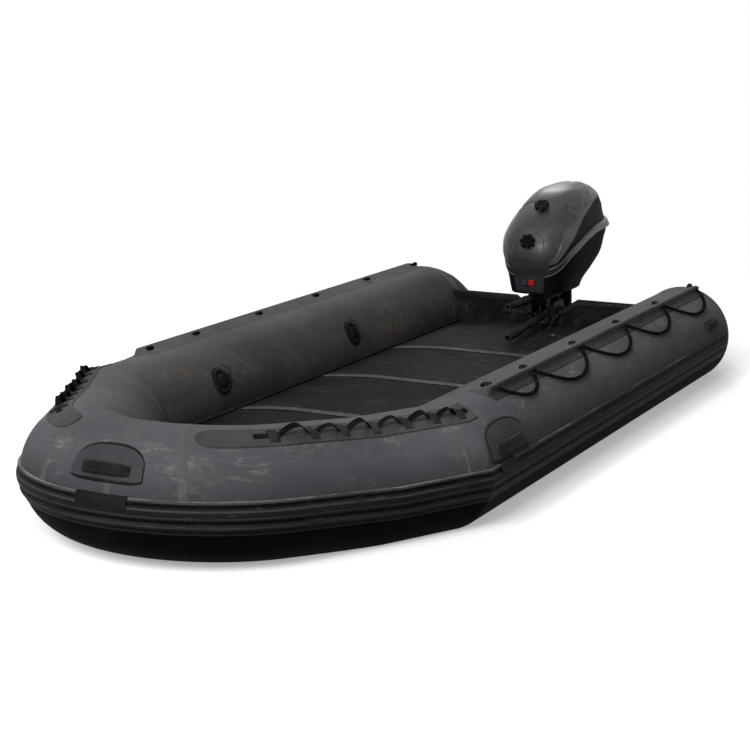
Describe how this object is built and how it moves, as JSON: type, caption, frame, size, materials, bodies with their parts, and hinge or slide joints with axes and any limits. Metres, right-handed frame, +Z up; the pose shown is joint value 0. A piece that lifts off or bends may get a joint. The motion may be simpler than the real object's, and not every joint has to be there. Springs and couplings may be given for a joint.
{
  "type": "inflatable boat with outboard engine",
  "caption": "Open inflatable boat with a blunt bow, floorboards, a wooden transom, lifelines and a tiller-steered outboard engine, afloat.",
  "frame": {"origin": "on the waterline, on the centreline and amidships", "axes": "-Y towards the bow, +X to port, +Z up"},
  "size_m": [2.0862, 4.7534, 1.475],
  "materials": {
    "tube_fabric": "slate grey coated fabric, matt, with dusty scuffs",
    "hull_fabric": "dark grey coated fabric, matt",
    "black_rubber": "black moulded rubber, matt with wear",
    "floor_panel": "dark brown-black coated board with long scratches",
    "transom_panel": "black coated board",
    "webbing": "flat black woven webbing",
    "rope": "dark grey braided rope",
    "steel": "dull stainless steel",
    "dark_casting": "dark painted casting, satin",
    "cover_paint": "dark grey satin paint"
  },
  "bodies": {
    "hull": {"tube_bow": "tube_fabric", "tube_port": "tube_fabric", "tube_starboard": "tube_fabric", "stern_cone_port": "tube_fabric", "stern_cone_starboard": "tube_fabric", "hull_bottom": "hull_fabric", "keel_guard": "black_rubber", "floor_board_1": "floor_panel", "floor_board_2": "floor_panel", "floor_board_3": "floor_panel", "floor_board_4": "floor_panel", "floor_board_5": "floor_panel", "transom_board": "transom_panel", "transom_cap": "black_rubber", "clamp_plate_inner": "steel", "clamp_plate_outer": "steel", "strake_bow": "black_rubber", "strake_port": "black_rubber", "strake_starboard": "black_rubber", "carry_handle_bow": "black_rubber", "carry_handle_port_fore": "black_rubber", "carry_handle_port_aft": "black_rubber", "carry_handle_starboard_fore": "black_rubber", "carry_handle_starboard_aft": "black_rubber", "lifeline_flange_port": "black_rubber", "lifeline_flange_starboard": "black_rubber", "lifeline_port": "rope", "lifeline_starboard": "rope", "lashing_strip_port": "tube_fabric", "lashing_strip_starboard": "tube_fabric", "lashing_webbing_port": "webbing", "lashing_webbing_starboard": "webbing", "valve_port_fore": "black_rubber", "valve_port_aft": "black_rubber", "valve_starboard_fore": "black_rubber", "valve_starboard_aft": "black_rubber", "deck_ring": "steel", "clamp_bracket": "dark_casting", "clamp_screw_port": "dark_casting", "clamp_screw_starboard": "dark_casting", "hose_union": "steel", "fuel_hose": "black_rubber"},
    "swivel": {"swivel_bracket": "dark_casting"},
    "powerhead": {"steering_arm": "dark_casting", "throttle_grip": "black_rubber", "cowl_lower": "cover_paint", "cowl_upper": "cover_paint", "front_panel": "cover_paint", "cover_knob_lower": "black_rubber", "cover_knob_upper": "black_rubber", "stop_switch": "black_rubber", "engine_block": "dark_casting", "drive_leg": "dark_casting", "ventilation_plate": "dark_casting", "gear_housing": "dark_casting"},
    "tiller": {"tiller_arm": "dark_casting", "tiller_grip": "black_rubber", "shift_grip": "black_rubber"},
    "propeller": {"propeller": "dark_casting"}
  },
  "joints": [
    {"name": "engine_tilt", "type": "hinge", "parent": "hull", "child": "swivel", "pos_m": [0, 1.83, 0.335], "axis": [1, 0, 0], "range_deg": [0, 15]},
    {"name": "engine_steer", "type": "hinge", "parent": "swivel", "child": "powerhead", "pos_m": [0, 1.99, 0.337], "axis": [0, 0, 1], "range_deg": [-35, 35]},
    {"name": "tiller_lift", "type": "hinge", "parent": "powerhead", "child": "tiller", "pos_m": [0.05, 1.73, 0.294], "axis": [-1, 0, 0], "range_deg": [0, 21]},
    {"name": "propeller_spin", "type": "hinge", "parent": "powerhead", "child": "propeller", "pos_m": [0, 2.245, -0.315], "axis": [0, 1, 0], "continuous": true}
  ],
  "couplings": [
    {"joint": "tiller_lift", "follows": "engine_tilt", "ratio": 1.4}
  ]
}
